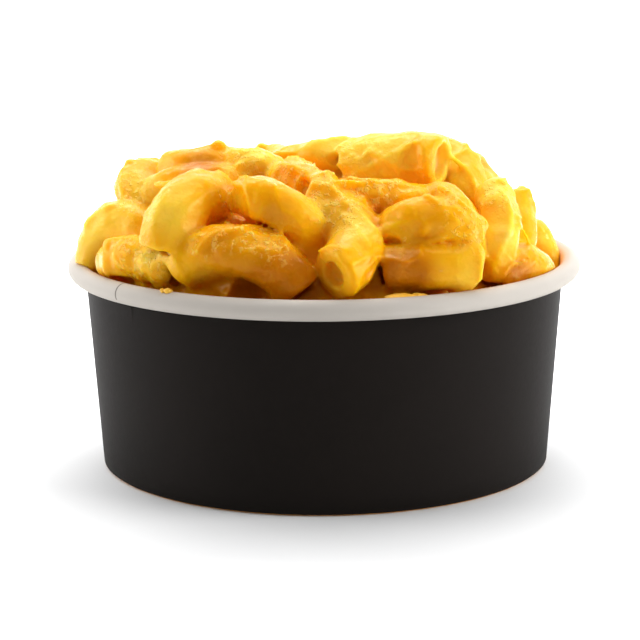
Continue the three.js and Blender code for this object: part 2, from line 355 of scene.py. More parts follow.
# ---- The bowl's base ----
# A white disc of board with a skirt turned down at its edge. The skirt is gripped between
# the wall and the wall's folded foot, so the disc sits a few millimetres above the table.
BASE_LIFT = 4.6
BASE_BEND = 0.8
BASE_RINGS = 12
BASE_COLUMNS = 144
BASE_MIDDLE = 0.01
base_board = Finish("base_board", Roughness=0.62)
base_mottle = base_board.noise(60.0, 3.0)
base_fibres = base_board.noise(900.0, 4.0, 0.6)
base_board.vary("Base Color", base_board.mix(base_mottle, BOARD_WHITE, BOARD_SHADE))
base_board.vary("Roughness", 0.58 + base_fibres * 0.1)
base_board.bump(base_fibres, 0.02 * MM)
base_top = BASE_LIFT + PAPER
skirt_foot = PAPER + GAP
skirt_outer = PAPER / 2 + GAP
base_edge = wall_middle(BASE_LIFT) - skirt_outer
base_radii = np.linspace(BASE_MIDDLE, base_edge - BASE_BEND, BASE_RINGS)
upper = [(radius, base_top) for radius in base_radii]
bend_middle = (base_edge - BASE_BEND, base_top - BASE_BEND)
upper += bend_points(bend_middle, BASE_BEND, BASE_BEND, np.linspace(math.pi / 2, 0, 6)[1:])
upper.append((wall_middle(skirt_foot) - skirt_outer, skirt_foot))
lower = [(wall_middle(skirt_foot) - skirt_outer - PAPER, skirt_foot)]
lower.append((base_edge - PAPER, BASE_LIFT - 0.2))
lower += [(radius, BASE_LIFT) for radius in base_radii[::-1]]
base_outline = np.array(upper + lower)[::-1]
base_angles = np.linspace(0, 2 * math.pi, BASE_COLUMNS, endpoint=False)
base_mesh = revolved("bowl_base_disc", [(angle, base_outline) for angle in base_angles])
base_mesh.materials.append(base_board.material)
bowl_base = new_piece("bowl_base_disc", base_mesh)
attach(bowl_base, "root")
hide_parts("bowl_base")


# ---- The macaroni ----
# Short bent tubes of boiled pasta, cut square at both ends. Those that show from the front
# are each laid through three points, and the others lie in rings over the rest of the heap.
NOODLE_RADIUS = 4.7
BORE_RADIUS = 3.4
NOODLE_SIDES = 24
NOODLE_ROWS = 18
LIP_ROWS = 4
LIP_STRETCH = 6

# Each elbow by its start, its crown and its end, and its size beside the usual one.
LAID_ELBOWS = [
    ((-49.5, -12, 46), (-45, -15, 56.3), (-37.5, -20, 54), 0.95),
    ((-35.5, 1, 62.5), (-41, -8, 63), (-37, -14, 57.5), 0.9),
    ((-33.4, -8, 67), (-26, -12, 68), (-16.5, -6, 66.4), 0.85),
    ((-37, -14, 62.5), (-26, -18, 65.3), (-14.5, -15, 63), 0.85),
    ((-32.8, -38.5, 55.4), (-30.3, -36, 62), (-23.5, -26.5, 62.3), 1.18),
    ((-46, -22, 48.5), (-38.5, -31, 51.5), (-31, -36, 49), 0.85),
    ((-29.5, -38, 50.5), (-15.5, -44, 54.5), (-5.5, -46, 47.5), 1.05),
    ((-14.9, -33, 64), (-8.9, -40, 63.7), (-3, -37, 58), 0.9),
    ((-3.5, -31, 63.7), (5.8, -38.5, 57.8), (1.8, -50.5, 51.3), 1.18),
    ((13, -44, 51), (22, -44.5, 51.7), (30.6, -42.6, 51), 1.0),
    ((15, -37, 57), (21.4, -42, 61.2), (28.4, -36, 55.7), 0.95),
    ((1.5, -25, 61), (12, -31, 63), (23, -26, 60), 0.9),
    ((6, -11, 67), (16, -14.5, 69.6), (25, -18.5, 69.8), 1.22),
    ((24, 0, 68.5), (29.5, -7, 68), (30, -15, 60.5), 0.85),
    ((30.5, 4, 65), (34.5, -4, 63), (35, -12, 57), 0.8),
    ((36, -20, 63.2), (37.2, -28.5, 56.5), (35.8, -32, 46.5), 0.75),
    ((42, -4, 59.5), (43, -8, 55.5), (42, -14, 48.5), 0.75),
    ((46.5, 7, 50), (49.2, 3, 46.2), (49.5, -1, 40.5), 0.75),
    ((36.6, -31, 45.1), (41.5, -27, 48.2), (46.5, -17, 42.3), 0.8),
    ((-20, -12, 65), (-15, -15, 68.5), (-10, -14, 64.5), 0.8),
    ((-10.5, -2, 65), (-5.5, -4, 68), (-1, 0, 64.5), 0.8),
    ((-3.5, -4, 66.5), (2.5, -7, 69.5), (9, -4, 66), 0.85),
    ((-9.5, -16, 64.5), (-4, -25, 66), (1.5, -26, 61.5), 0.8),
    ((23, -26, 62), (27.5, -33, 60), (29.5, -33, 52.5), 0.85),
]

# The rings, from the brim up. Each runs round the back from one angle to another.
RINGS = [
    {"radius": 47, "height": 50, "from": 0.35, "to": 3.35, "count": 9},
    {"radius": 39, "height": 57.5, "from": 0.1, "to": 3.1, "count": 8},
    {"radius": 27, "height": 63, "from": 0, "to": 3, "count": 7},
    {"radius": 12, "height": 65.5, "from": -0.2, "to": 2.9, "count": 4},
]
RING_SHIFT = -2
RING_SEED = 4127
RING_BEND = 9
RING_TURN = 1.9
RING_SIZE = 0.92
RING_UPWARD = 0.35
PLACE_SPREAD = 0.4
LEAN_SPREAD = 0.6
SIZE_SPREAD = 0.1
HEIGHT_SPREAD = 1.5
MOUND_RADIUS = 45


def drawn_numbers(state):
    """An endless run of numbers between 0 and 1, always the same one for the same start."""
    largest = 2 ** 31 - 1
    while True:
        state = state * 16807 % largest
        yield state / largest


def unit(way):
    """A direction at a length of one."""
    return way / np.linalg.norm(way)


def ring_elbows():
    """The elbows of the rings, leaning along the mound, by three points each."""
    draws = drawn_numbers(RING_SEED)
    elbows = []
    for ring in RINGS:
        for place in range(ring["count"]):
            share = (place + (1 - PLACE_SPREAD) / 2 + PLACE_SPREAD * next(draws)) / ring["count"]
            around = ring["from"] + share * (ring["to"] - ring["from"])
            heading = next(draws) * math.pi
            lean = (next(draws) * 2 - 1) * LEAN_SPREAD
            size = RING_SIZE + (next(draws) * 2 - 1) * SIZE_SPREAD
            lift = (next(draws) * 2 - 1) * HEIGHT_SPREAD
            steep = min(ring["radius"] / MOUND_RADIUS, 1)
            up = math.sqrt(1 - steep * steep) + RING_UPWARD
            outward = unit(np.array([math.cos(around) * steep, math.sin(around) * steep, up]))
            sideways = np.array([-math.sin(around), math.cos(around), 0])
            chord = sideways * math.cos(heading) + np.cross(outward, sideways) * math.sin(heading)
            bulge = outward * math.cos(lean) + np.cross(outward, chord) * math.sin(lean)
            crown = np.array([
                RING_SHIFT + ring["radius"] * math.cos(around),
                ring["radius"] * math.sin(around),
                ring["height"] + lift,
            ])
            middle = crown - bulge * RING_BEND * (1 - math.cos(RING_TURN / 2))
            half = chord * RING_BEND * math.sin(RING_TURN / 2)
            elbows.append((middle - half, crown, middle + half, size))
    return elbows


def arc_through(start, crown, end):
    """The arc through three points: its centre, radius, angle and three directions."""
    start, crown, end = (np.array(point, float) for point in (start, crown, end))
    first = crown - start
    second = end - start
    normal = np.cross(first, second)
    to_centre = np.cross(normal, first) * second.dot(second)
    to_centre = to_centre + np.cross(second, normal) * first.dot(first)
    centre = start + to_centre / (2 * normal.dot(normal))
    out = unit(start - centre)
    ahead = np.cross(unit(normal), out)
    turn = math.atan2((end - centre).dot(ahead), (end - centre).dot(out)) % (2 * math.pi)
    bend = np.linalg.norm(start - centre)
    arc = {"centre": centre, "bend": bend, "turn": turn, "out": out, "ahead": ahead}
    arc["axis"] = np.cross(out, ahead)
    return arc


elbows = []
for start, crown, end, size in LAID_ELBOWS + ring_elbows():
    elbow = arc_through(start, crown, end)
    elbow["size"] = size
    elbows.append(elbow)

# A straight tube, drawn long so that its rounded lips stay short once it is bent to its arc.
TUBE_LENGTH = 100.0
lip_radius = (NOODLE_RADIUS - BORE_RADIUS) / 2
lip_middle = (NOODLE_RADIUS + BORE_RADIUS) / 2
lip_length = lip_radius * LIP_STRETCH
far_lip = TUBE_LENGTH - lip_length
tube_outline = [(NOODLE_RADIUS, z) for z in np.linspace(lip_length, far_lip, NOODLE_ROWS)]
lip_turns = np.linspace(0, math.pi, LIP_ROWS + 2)[1:-1]
tube_outline += bend_points((lip_middle, far_lip), lip_radius, lip_length, lip_turns)
tube_outline += [(BORE_RADIUS, z) for z in np.linspace(far_lip, lip_length, NOODLE_ROWS)]
tube_outline += bend_points((lip_middle, lip_length), lip_radius, lip_length, lip_turns + math.pi)
tube_outline = np.array(tube_outline)
tube_angles = np.linspace(0, 2 * math.pi, NOODLE_SIDES, endpoint=False)
tube_mesh = revolved("straight_tube", [(angle, tube_outline) for angle in tube_angles])
straight_tube = bpy.data.objects.new("straight_tube", tube_mesh)


class Maker(Tree):
    """A Geometry Nodes group with named inputs. It turns one object into another."""

    def __init__(self, name, sizes):
        self.group = bpy.data.node_groups.new(name, "GeometryNodeTree")
        face = self.group.interface
        face.new_socket("Geometry", in_out="INPUT", socket_type="NodeSocketGeometry")
        self.places = {}
        for size_name, (kind, value) in sizes.items():
            socket = face.new_socket(size_name, in_out="INPUT", socket_type=kind)
            self.places[socket.identifier] = value
        face.new_socket("Geometry", in_out="OUTPUT", socket_type="NodeSocketGeometry")
        super().__init__(self.group)
        self.entry = self.nodes.new("NodeGroupInput")

    def size(self, name):
        return Value(self, self.entry.outputs[name])

    def own(self, name, kind="FLOAT"):
        return self.node("GeometryNodeInputNamedAttribute", {"data_type": kind}, {"Name": name})

    def uneven(self, place, scale, amount, detail):
        """A small shift, different at every place."""
        inputs = {"Vector": place, "Scale": scale, "Detail": detail}
        shift = self.node("ShaderNodeTexNoise", {}, inputs, "Color")
        return self.scaled(self.vector("SUBTRACT", shift, (0.5, 0.5, 0.5)), amount)

    def make(self, name, base, material, geometry):
        """Ends the tree, runs it on the base object and returns the result as a new one."""
        realized = self.node("GeometryNodeRealizeInstances", {}, [geometry])
        settled = self.node(
            "GeometryNodeSetMaterial", {}, {"Geometry": realized, "Material": material}
        )
        exit_node = self.nodes.new("NodeGroupOutput")
        self.links.new(settled.socket, exit_node.inputs[0])
        scene.collection.objects.link(base)
        modifier = base.modifiers.new(name, "NODES")
        modifier.node_group = self.group
        for identifier, value in self.places.items():
            modifier[identifier] = value
        shapes = bpy.context.evaluated_depsgraph_get()
        made_mesh = bpy.data.meshes.new_from_object(base.evaluated_get(shapes))
        base.modifiers.remove(modifier)
        made_mesh.name = name
        return new_piece(name, made_mesh)


def give(mesh, name, rows):
    """Gives a mesh an attribute by name: a value or a vector for each of its points."""
    rows = np.array(rows, np.float32)
    kind, content = ("FLOAT", "value") if rows.ndim == 1 else ("FLOAT_VECTOR", "vector")
    mesh.attributes.new(name, kind, "POINT").data.foreach_set(content, rows.ravel())


def seed_points(name, places, traits):
    """An object of loose points that carry traits by name, for a Maker to read."""
    mesh = bpy.data.meshes.new(name)
    mesh.from_pydata(places, [], [])
    for trait, rows in traits.items():
        give(mesh, trait, rows)
    return bpy.data.objects.new(name, mesh)


elbow_traits = {}
for name in ("centre", "bend", "turn", "out", "ahead", "axis", "size"):
    scale = MM if name in ("centre", "bend") else 1
    elbow_traits[name] = [elbow[name] * scale for elbow in elbows]
elbow_seeds = seed_points("elbow_seeds", [(0, 0, 0)] * len(elbows), elbow_traits)

bender = Maker("bend_macaroni", {
    "Tube": ("NodeSocketObject", straight_tube),
    "Tube length": ("NodeSocketFloat", TUBE_LENGTH * MM),
    "Waviness": ("NodeSocketFloat", 0.5 * MM),
    "Wave scale": ("NodeSocketFloat", 160.0),
})
tube = bender.node("GeometryNodeObjectInfo", {}, {"Object": bender.size("Tube")}, "Geometry")
seeds = bender.node("GeometryNodeMeshToPoints", {}, [bender.size("Geometry")])
tubes = bender.node("GeometryNodeInstanceOnPoints", {}, {"Points": seeds, "Instance": tube})
tubes = bender.node("GeometryNodeRealizeInstances", {}, [tubes])
across, aside, along = bender.parts(bender.node("GeometryNodeInputPosition"))
angle_here = along / bender.size("Tube length") * bender.own("turn")
reach = bender.own("bend") + aside * bender.own("size")
outward = bender.scaled(bender.own("out", "FLOAT_VECTOR"), angle_here.math("COSINE") * reach)
onward = bender.scaled(bender.own("ahead", "FLOAT_VECTOR"), angle_here.math("SINE") * reach)
sideways = bender.scaled(bender.own("axis", "FLOAT_VECTOR"), across * bender.own("size"))
bent = bender.vector("ADD", bender.vector("ADD", outward, onward), sideways)
bent = bender.vector("ADD", bent, bender.own("centre", "FLOAT_VECTOR"))
wave = bender.uneven(bent, bender.size("Wave scale"), bender.size("Waviness"), 1.0)
bent = bender.vector("ADD", bent, wave)
bent_tubes = bender.node("GeometryNodeSetPosition", {}, {"Geometry": tubes, "Position": bent})

PASTA = (0.93, 0.48, 0.06, 1)
PASTA_PALE = (0.95, 0.54, 0.12, 1)
pasta = Finish(
    "boiled_pasta",
    Specular_IOR_Level=0.25,
    Subsurface_Weight=0.6,
    Subsurface_Radius=(1.0, 0.6, 0.3),
    Subsurface_Scale=2.5 * MM,
)
pasta_shade = pasta.noise(220.0, 3.0)
pasta.vary("Base Color", pasta.mix(pasta_shade, PASTA, PASTA_PALE))
pasta.vary("Roughness", pasta.step(pasta.noise(400.0, 2.0), 0.3, 0.7, 0.28, 0.42))
pasta.bump(pasta.noise(500.0, 3.0), 0.05 * MM)
macaroni = bender.make("macaroni", elbow_seeds, pasta.material, bent_tubes)
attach(macaroni, "root")
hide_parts("macaroni_heap")
bpy.data.objects.remove(straight_tube)
bpy.data.objects.remove(elbow_seeds)


# ---- The cheese sauce ----
# Thick, slightly grainy sauce that coats the macaroni and fills the gaps between them. It is
# one closed skin round everything: a distance field in millimetres, below zero in the sauce.
CELL = 0.58
FIELD_LOW = np.array([-57.0, -57.0, 41.0])
FIELD_HIGH = np.array([57.0, 57.0, 79.0])
FAR = 9.0
MOUND_TOP = 66
MOUND_FULLNESS = 2.4
MOUND_SHIFT = -2
MOUND_SCALE = 16
MOUND_HILLS = 9.0
BLEND = 0.9
POOLING = 0.8
RIDGE_BLEND = 0.7

# Each ridge by its start, its crown and its end, and its radius.
RIDGES = [
    ((-15.9, -38, 68.6), (-15.3, -41.4, 65.8), (-14.5, -41.1, 62.4), 0.9),
    ((-12.3, -43.4, 65), (-13, -42.9, 63.3), (-14.3, -40.8, 61.9), 0.7),
    ((-46.1, -27.1, 54.1), (-42.4, -30.2, 55.4), (-38.6, -33.1, 55.5), 0.8),
    ((-37.1, -38.9, 55.7), (-36, -39.7, 55.2), (-35, -40.2, 54.4), 0.6),
    ((-25.7, -45.8, 55.8), (-22.2, -45.7, 58.6), (-17.3, -45.6, 59.6), 0.9),
    ((-17.3, -45.6, 59.6), (-12.4, -42.6, 58.9), (-8.3, -47.6, 56.6), 1.0),
    ((-21, -21.6, 67.3), (-17.8, -18.4, 69.4), (-13.3, -18.6, 70.5), 0.9),
    ((-8.2, -24.8, 70), (-5, -27.9, 69.4), (-1.6, -30.8, 67.7), 0.9),
    ((-44, -10.3, 66.1), (-44.1, -13, 63.8), (-43.3, -15.3, 61.7), 0.7),
    ((-0.8, -10.8, 69.4), (2.7, -11, 70.7), (6.2, -14, 70.2), 0.7),
    ((-52, -14.7, 55.8), (-49.6, -16.1, 58.4), (-46, -17.3, 60.5), 0.7),
    ((-45.3, -11.5, 62.7), (-44, -7.6, 67), (-42, -4.8, 68.4), 0.6),
    ((-35.4, -24.5, 66.2), (-29.5, -29.1, 67.6), (-23.3, -26.1, 68.4), 0.7),
    ((-33.8, -35.2, 66.6), (-30.1, -33.2, 69.1), (-25.6, -30.4, 70.1), 0.5),
    ((-32.4, -37.8, 65.6), (-28.5, -35.8, 68), (-23.8, -33.2, 68.6), 0.6),
    ((-24.6, -34.6, 67.8), (-23.2, -35, 64.7), (-22.3, -33.3, 61.2), 0.7),
    ((-36, -39.6, 57.7), (-32.8, -40.4, 57), (-29.4, -42, 56.6), 0.8),
    ((-46.7, -25.4, 53.4), (-46, -29.5, 51.3), (-46.6, -28.1, 48.7), 0.8),
    ((-44.4, -30.3, 53.8), (-42.5, -33.3, 51.9), (-41.2, -33.5, 49.4), 0.6),
    ((-46.4, -27.9, 48.2), (-41.2, -31.9, 48), (-35.1, -34.9, 48.1), 0.8),
    ((-38, -36.9, 50.2), (-33.8, -39.1, 52.1), (-31.1, -42.5, 54.2), 0.9),
    ((-30, -43, 55.1), (-28.1, -42.8, 57.1), (-26, -44, 58), 0.9),
    ((-31.1, -42.9, 53.4), (-29.6, -43.9, 51.1), (-28.3, -38.6, 46.7), 0.6),
    ((-18.7, -35.8, 68.1), (-16.3, -38.8, 67.9), (-14, -40.5, 68.3), 0.7),
    ((-13.2, -42.2, 67.3), (-14, -42.5, 64.7), (-14.7, -40.6, 62.1), 0.6),
    ((-1.9, -35.3, 67.3), (1.3, -36, 66.7), (4.3, -40.3, 64), 0.8),
    ((4.3, -40.3, 64), (7.6, -42.5, 62), (11, -45.4, 57.5), 0.9),
    ((11, -45.6, 57.3), (10.7, -48.2, 54.3), (8.4, -51.6, 50.4), 0.7),
    ((2.9, -40.8, 62.8), (5.7, -45.2, 60.6), (8.7, -48.9, 57.1), 0.5),
    ((5.3, -54.2, 54.2), (7.6, -51.9, 54.8), (10.3, -47.5, 56.4), 0.6),
    ((-1.2, -49.5, 56), (1, -50.8, 57), (4.1, -52.2, 56.6), 0.6),
    ((1.3, -34.9, 67.4), (9.2, -33.2, 67.5), (18.1, -32.1, 66.4), 0.7),
    ((12.5, -35.5, 62.3), (16.3, -34.7, 64.7), (21.2, -32.1, 64.9), 0.8),
    ((21, -42.6, 66.3), (24.5, -45.6, 63.9), (27.2, -46, 61), 0.7),
    ((24, -39.4, 67.3), (28.6, -42.9, 64.2), (31.5, -42.4, 60.8), 0.8),
    ((31.5, -42.5, 60.6), (32.1, -42.1, 58.7), (31.9, -42.2, 56.8), 0.9),
    ((12.3, -42.7, 58.3), (14.7, -44.5, 59.2), (16.8, -44.8, 57.6), 1.2),
    ((17, -44.8, 57.4), (20.4, -45.4, 57), (23.9, -45.7, 58.1), 0.7),
    ((23.9, -45.7, 58.1), (27.8, -45.3, 58.4), (31.2, -43.8, 56.7), 0.8),
    ((31.7, -45.1, 56), (32, -47.6, 52.9), (31.8, -47.4, 49.4), 0.45),
    ((20.6, -46.7, 61.4), (20.4, -46.6, 60.1), (20.2, -46, 58.8), 0.5),
    ((21.3, -20.1, 75.4), (21.6, -23.3, 71.6), (22.8, -22.3, 66.4), 0.8),
    ((25, -20.2, 74.6), (25.9, -14.7, 69.9), (24.9, -18.5, 65.4), 0.6),
    ((7, -17.8, 67.6), (13.2, -20.1, 70.7), (20.2, -21.1, 74.5), 0.6),
    ((13, -19.6, 67.6), (17.3, -20.4, 66.6), (22.4, -21.9, 65.7), 0.7),
    ((26.4, -15.2, 71.3), (30.9, -15.2, 67.3), (32.6, -17.1, 64.3), 0.7),
    ((37.7, -26.4, 64.4), (39.1, -29.6, 61.4), (38.7, -33.3, 56.7), 0.8),
    ((33.5, -26.1, 61.6), (33.9, -29.8, 57.9), (34.1, -32.8, 53), 0.5),
    ((38.7, -33.4, 56.5), (36.9, -34.9, 52.9), (34.8, -35.6, 48), 0.5),
    ((41.4, -30.5, 57.7), (43.6, -26.1, 53.7), (44.8, -29.1, 49.7), 0.5),
    ((6.2, -16.7, 70.8), (7.6, -17.9, 68.5), (6.6, -17.8, 66.6), 0.6),
]

# Each dip, and each lump, by its middle and its radius.
HOLLOWS = [
    ((-15.5, -47, 46), 4.5),
    ((-4, -52, 46), 4),
    ((9.5, -50, 46), 3.5),
    ((-18.5, -36, 60), 1.5),
    ((37.5, -34, 45), 3),
]
LUMPS = [
    ((-42.8, -5.8, 68.1), 1.3),
    ((-22.8, -11.8, 72.5), 1.6),
    ((-13.9, 8.1, 69.4), 1.4),
    ((4.8, -8.1, 73.4), 1.2),
    ((45.1, -6.1, 61.2), 1.0),
    ((-20, -32.1, 64), 0.6),
    ((20.8, -46.6, 60.1), 0.6),
    ((28, -44.5, 45.8), 2.4),
    ((-19.5, -36.5, 58), 2.2),
]

# Each grainy spot, and each spot of painted light and painted shade, by its middle, its reach and
# how much.
GRAINY_SPOTS = [
    ((3, -28, 65), 7, 1.0),
    ((12, -31, 66), 7, 1.0),
    ((22, -29, 64), 6, 0.8),
    ((-1, -33, 66), 6, 0.8),
    ((3, -43, 62), 5, 0.7),
    ((2, -52, 57), 3, 0.6),
    ((-24, -45, 58), 5, 1.0),
    ((-16, -46, 60), 5, 0.7),
    ((-9, -47, 57), 5, 1.0),
    ((-10, -20, 68), 9, 0.6),
    ((0, -15, 69), 8, 0.6),
    ((-20, -34, 64), 4, 0.6),
    ((27, -41, 64), 5, 0.9),
    ((31, -42, 59), 4, 0.8),
    ((36, -27, 63), 4, 0.7),
    ((12, -16, 72), 7, 0.5),
    ((16, -45, 57), 4, 0.6),
    ((26, -45, 57), 5, 0.6),
    ((-38, -34, 54), 6, 0.8),
    ((-36, -38, 57), 4, 0.5),
]
# Spots above zero paint light on the sauce, spots below zero paint shade.
PAINTED_LIGHT_AND_SHADE_SPOTS = [
    ((-50, -17, 55), 6, 0.8),
    ((-44, -20, 58), 5, 0.5),
    ((-42, -13, 65), 5, 0.5),
    ((-32, -40, 63), 6, 0.9),
    ((-37, -37, 54), 3.5, 1.0),
    ((24, -16, 70), 5, 1.8),
    ((43, -10, 59), 4, 0.3),
    ((36, -28, 64), 4, 0.6),
    ((38, -34, 56), 5, 1.5),
    ((29, -48, 51), 6, 0.6),
    ((8, -46, 60), 5, 0.8),
    ((50, 0, 48), 4, 0.5),
    ((-11, -51, 49), 7, -1.0),
    ((-22, -47, 56), 6, -0.6),
    ((14, -49, 51), 6, -0.9),
    ((40, -33, 47), 6, -1.2),
    ((-16, -43, 47), 6, -1.0),
    ((-26, -12, 69), 7, -0.3),
    ((-26, -19, 68), 6, -0.9),
    ((33, -4, 66), 5, -0.6),
    ((37, -22, 63), 5, 1.2),
    ((12, -17, 70), 8, 1.1),
    ((-15, -15, 71), 6, 1.2),
    ((2, -8, 72), 6, 1.1),
    ((30, -9, 66), 5, 0.4),
    ((0, -40, 63), 5, 0.5),
    ((-19, -36, 58), 5, 0.1),
    ((-10, -44, 63), 5, -0.5),
    ((22, -47, 61), 5, -0.4),
    ((13, -35, 62), 5, -0.6),
    ((-5, -50, 50), 6, -1.0),
    ((20, -49, 51), 6, -0.7),
]

# The mouths of the elbows. Some, by their number, are filled further or drawn in.
LIP_ROUND = 0.9
BORE_DEPTH = 5.0
SHALLOW = {8: 2.3, 12: 2.5}
NARROWED = {8: 3.0}
MOUTH_CLEARANCE = 1.5
COAT = 0.34
LEAST_COAT = 0.04
LEAST_GRAINY = 0.06
WALL_CLEARANCE = 0.05
MOST_TRIANGLES = 190000

field_steps = np.ceil((FIELD_HIGH - FIELD_LOW) / CELL).astype(int) + 1
field_axes = [FIELD_LOW[i] + CELL * np.arange(field_steps[i]) for i in range(3)]
grid_x, grid_y, grid_z = np.ix_(*field_axes)


def squared_from(spot):
    """The square of the distance of every point of the field from a spot."""
    return (grid_x - spot[0]) ** 2 + (grid_y - spot[1]) ** 2 + (grid_z - spot[2]) ** 2


def with_patches(field, patches):
    """A field with soft round patches added, each strongest at its middle."""
    for spot, reach, amount in patches:
        field = field + amount * np.exp(-squared_from(spot) / reach ** 2).astype(np.float32)
    return field


def smooth_least(first, second, width):
    """The lesser of two fields, with the step between them rounded over a width."""
    share = np.clip(0.5 + 0.5 * (second - first) / width, 0, 1)
    return second + (first - second) * share - width * share * (1 - share)


def waves(length, seed):
    """Smooth random hills from about -1 to 1, spread over the whole field."""
    spans = np.ceil((FIELD_HIGH - FIELD_LOW) / length).astype(int) + 4
    hills = np.random.default_rng(seed).random(tuple(spans)) * 2 - 1
    for way in range(3):
        at = (field_axes[way] - FIELD_LOW[way]) / length + 1
        near = np.floor(at).astype(int)
        past = at - near
        shares = [
            (1 - past) ** 3,
            3 * past ** 3 - 6 * past ** 2 + 4,
            -3 * past ** 3 + 3 * past ** 2 + 3 * past + 1,
            past ** 3,
        ]
        blend = np.zeros((len(at), spans[way]))
        for step, share in enumerate(shares):
            blend[np.arange(len(at)), near - 1 + step] += share / 6
        hills = np.moveaxis(np.tensordot(blend, hills, axes=([1], [way])), 0, way)
    return hills.astype(np.float32) * 2.2


def folds(length, seed, sharpness, patch_length, patch_seed, share):
    """Thin raised lines, from 0 to 1, that come and go in patches over the field."""
    line = np.maximum(1 - np.abs(waves(length, seed)) * sharpness, 0)
    return line ** 2 * np.clip(waves(patch_length, patch_seed) + share, 0, 1)


def part_of(field, way, start, stop):
    """A field from start to stop along one of its three ways, and whole along the others."""
    return field[tuple(slice(start, stop) if i == way else slice(None) for i in range(3))]


def blurred(field, reach):
    """The mean of a field over a cube round each of its points."""
    width = 2 * reach + 1
    for way in range(3):
        padding = [(reach + 1, reach) if i == way else (0, 0) for i in range(3)]
        run = np.cumsum(np.pad(field, padding, "edge"), axis=way)
        field = (part_of(run, way, width, None) - part_of(run, way, 0, -width)) / width
    return field


from_middle = np.hypot(grid_x - MOUND_SHIFT, grid_y - MOUND_SHIFT) / MOUND_RADIUS
above_brim = np.maximum(grid_z - roll_centre[1], 0) / (MOUND_TOP - roll_centre[1])
sauce = (np.sqrt(from_middle ** MOUND_FULLNESS + above_brim ** 2) - 1) * MOUND_SCALE
sauce = (sauce + waves(MOUND_HILLS, 3)).astype(np.float32)
above_pasta = np.full(tuple(field_steps), FAR, np.float32)
opened = np.full(tuple(field_steps), FAR, np.float32)


def near_arc(arc, reach):
    """The part of the field near an arc, how far it is from the arc's line and past its ends."""
    half_turn = arc["turn"] / 2
    crown_way = arc["out"] * math.cos(half_turn) + arc["ahead"] * math.sin(half_turn)
    along_way = arc["ahead"] * math.cos(half_turn) - arc["out"] * math.sin(half_turn)
    crown = arc["centre"] + crown_way * arc["bend"]
    reach = arc["bend"] * math.sin(min(half_turn, math.pi / 2)) + reach
    first = np.maximum(np.floor((crown - reach - FIELD_LOW) / CELL).astype(int), 0)
    last = np.minimum(np.ceil((crown + reach - FIELD_LOW) / CELL).astype(int) + 1, field_steps)
    box = tuple(slice(a, max(a, b)) for a, b in zip(first, last))
    from_x = grid_x[box[0]] - arc["centre"][0]
    from_y = grid_y[:, box[1]] - arc["centre"][1]
    from_z = grid_z[:, :, box[2]] - arc["centre"][2]

    def seen_along(way):
        return from_x * way[0] + from_y * way[1] + from_z * way[2]

    along_chord = np.abs(seen_along(along_way))
    to_crown = seen_along(crown_way)
    past_end = along_chord * math.cos(half_turn) - to_crown * math.sin(half_turn)
    straight_on = along_chord * math.sin(half_turn) + to_crown * math.cos(half_turn)
    from_arc = np.where(past_end < 0, np.hypot(along_chord, to_crown), straight_on) - arc["bend"]
    return box, np.hypot(from_arc, seen_along(arc["axis"])), past_end


for number, elbow in enumerate(elbows):
    tube_radius = NOODLE_RADIUS * elbow["size"]
    bore_radius = NARROWED.get(number, BORE_RADIUS * elbow["size"])
    box, from_line, past_end = near_arc(elbow, tube_radius + 4)
    over_side = from_line - tube_radius + LIP_ROUND
    over_end = past_end + LIP_ROUND
    solid = np.minimum(np.maximum(over_side, over_end), 0) - LIP_ROUND
    solid += np.hypot(np.maximum(over_side, 0), np.maximum(over_end, 0))
    above_pasta[box] = np.minimum(above_pasta[box], solid)
    bore_depth = SHALLOW.get(number, BORE_DEPTH)
    bore = np.maximum(from_line - bore_radius, -(past_end + bore_depth))
    mouth = np.maximum(bore + 0.3, past_end - MOUTH_CLEARANCE)
    opened[box] = np.minimum(opened[box], mouth)
    sauce[box] = smooth_least(sauce[box], solid, BLEND)

# The sauce gathers where the elbows leave a dip. Its coat comes in waves, with strands and
# wrinkles in patches, and with lumps and grains where it is grainy.
dips = -blurred(np.clip(sauce, -4, 4).astype(np.float64), 4)
sauce = sauce - POOLING * np.clip(dips, 0, 2)
grainy = np.clip(with_patches(0.5 * waves(8.0, 12), GRAINY_SPOTS), LEAST_GRAINY, 1)
strands = folds(6.0, 8, 4, 12.0, 9, 0.1)
wrinkles = folds(3.6, 31, 3, 9.0, 32, 0.35)
lumps = 0.6 * np.maximum(waves(2.8, 41), 0) * (0.3 + 0.7 * grainy)
grains = 0.8 * np.maximum(waves(1.5, 7), 0) * grainy
coat = COAT + 0.28 * waves(5.0, 5) + 0.3 * waves(2.2, 6) + strands + wrinkles + lumps
sauce = sauce - np.maximum(coat, LEAST_COAT) - grains

uneven = waves(2.6, 21)
for start, crown, end, radius in RIDGES:
    box, from_line, past_end = near_arc(arc_through(start, crown, end), radius * 2 + 1.5)
    ridge = np.hypot(from_line, np.maximum(past_end, 0)) - radius * (1 + 0.35 * uneven[box])
    sauce[box] = smooth_least(sauce[box], ridge, RIDGE_BLEND)
for spot, radius in LUMPS:
    lump = np.sqrt(squared_from(spot)) - radius
    sauce = smooth_least(sauce, lump + 0.3 * radius * uneven, RIDGE_BLEND)
for spot, radius in HOLLOWS:
    hole = np.sqrt(squared_from(spot)) - radius
    sauce = np.maximum(sauce, np.minimum(-hole - 0.3 * uneven, above_pasta - 0.35))
sauce = np.maximum(sauce, -opened)

# The sauce stays inside the wall and the rolled rim.
from_axis = np.hypot(grid_x, grid_y)
from_roll = np.hypot(from_axis - roll_centre[0], grid_z - roll_centre[1])
past_wall = from_axis - (wall_middle(grid_z) - PAPER / 2) + WALL_CLEARANCE
past_roll = ROLL_RADIUS + WALL_CLEARANCE - from_roll
past_room = np.where(grid_z < roll_centre[1], past_wall, past_roll)
sauce = np.maximum(sauce, past_room)
sauce = np.maximum(sauce, FIELD_LOW[2] + 2 * CELL - grid_z).astype(np.float32)


